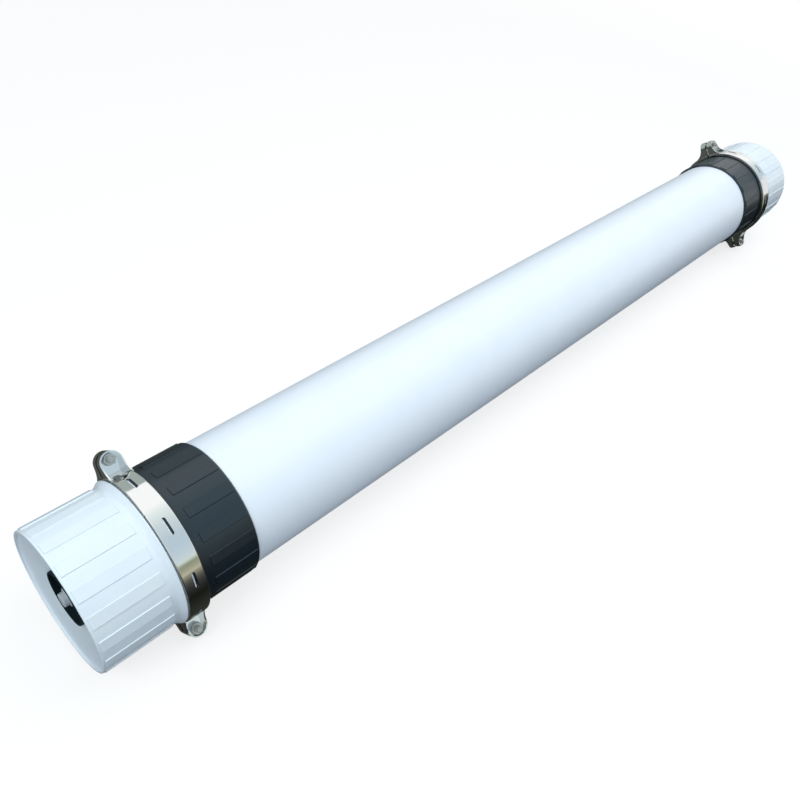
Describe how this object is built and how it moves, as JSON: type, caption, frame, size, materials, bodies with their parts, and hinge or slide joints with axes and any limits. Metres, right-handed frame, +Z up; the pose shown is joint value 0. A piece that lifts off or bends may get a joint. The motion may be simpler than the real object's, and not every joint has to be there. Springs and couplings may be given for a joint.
{
  "type": "ultrafiltration membrane module",
  "caption": "Long white cylindrical hollow-fibre filtration module with black collars, dished end caps with central ports and slotted stainless two-piece clamps.",
  "frame": {"origin": "on the floor under the middle of the tube, as the module lies on its two clamps", "axes": "+X along the tube from the near mouth to the far mouth, +Z up; the bolts' nuts face the -Y side and up"},
  "size_m": [2.224, 0.253, 0.253],
  "materials": {
    "white_pipe": "extruded bluish-white PVC-U pipe, satin",
    "white_cap": "moulded pale blue-white plastic, semi-gloss",
    "black_collar": "moulded black plastic, semi-gloss",
    "polished_band": "mirror-polished stainless steel",
    "stainless_fastener": "plain stainless steel",
    "seal_rubber": "black rubber",
    "bush_rubber": "black rubber, matt",
    "grey_nozzle": "turned light grey plastic",
    "grey_tube": "extruded dark grey plastic",
    "cast_resin": "cut face of cast resin with fibre ends",
    "membrane_fibre": "white hollow membrane fibres",
    "net_plastic": "extruded netting"
  },
  "bodies": {
    "root": {"housing_tube": "white_pipe", "near_end_cap": "white_cap", "near_collar": "black_collar", "near_flange_seal": "seal_rubber", "near_port_bush": "bush_rubber", "near_collector_nozzle": "grey_nozzle", "near_potting_block": "cast_resin", "near_clamp_front_half": "polished_band", "near_clamp_rear_half": "polished_band", "near_upper_bolt": "stainless_fastener", "near_upper_nut": "stainless_fastener", "near_upper_nut_washer": "stainless_fastener", "near_upper_head_washer": "stainless_fastener", "near_lower_bolt": "stainless_fastener", "near_lower_nut": "stainless_fastener", "near_lower_nut_washer": "stainless_fastener", "near_lower_head_washer": "stainless_fastener", "far_end_cap": "white_cap", "far_collar": "black_collar", "far_flange_seal": "seal_rubber", "far_port_bush": "bush_rubber", "far_collector_nozzle": "grey_nozzle", "far_potting_block": "cast_resin", "far_clamp_front_half": "polished_band", "far_clamp_rear_half": "polished_band", "far_upper_bolt": "stainless_fastener", "far_upper_nut": "stainless_fastener", "far_upper_nut_washer": "stainless_fastener", "far_upper_head_washer": "stainless_fastener", "far_lower_bolt": "stainless_fastener", "far_lower_nut": "stainless_fastener", "far_lower_nut_washer": "stainless_fastener", "far_lower_head_washer": "stainless_fastener", "collector_tube": "grey_tube", "fibre_bundle": "membrane_fibre", "bundle_net": "net_plastic"}
  },
  "joints": []
}
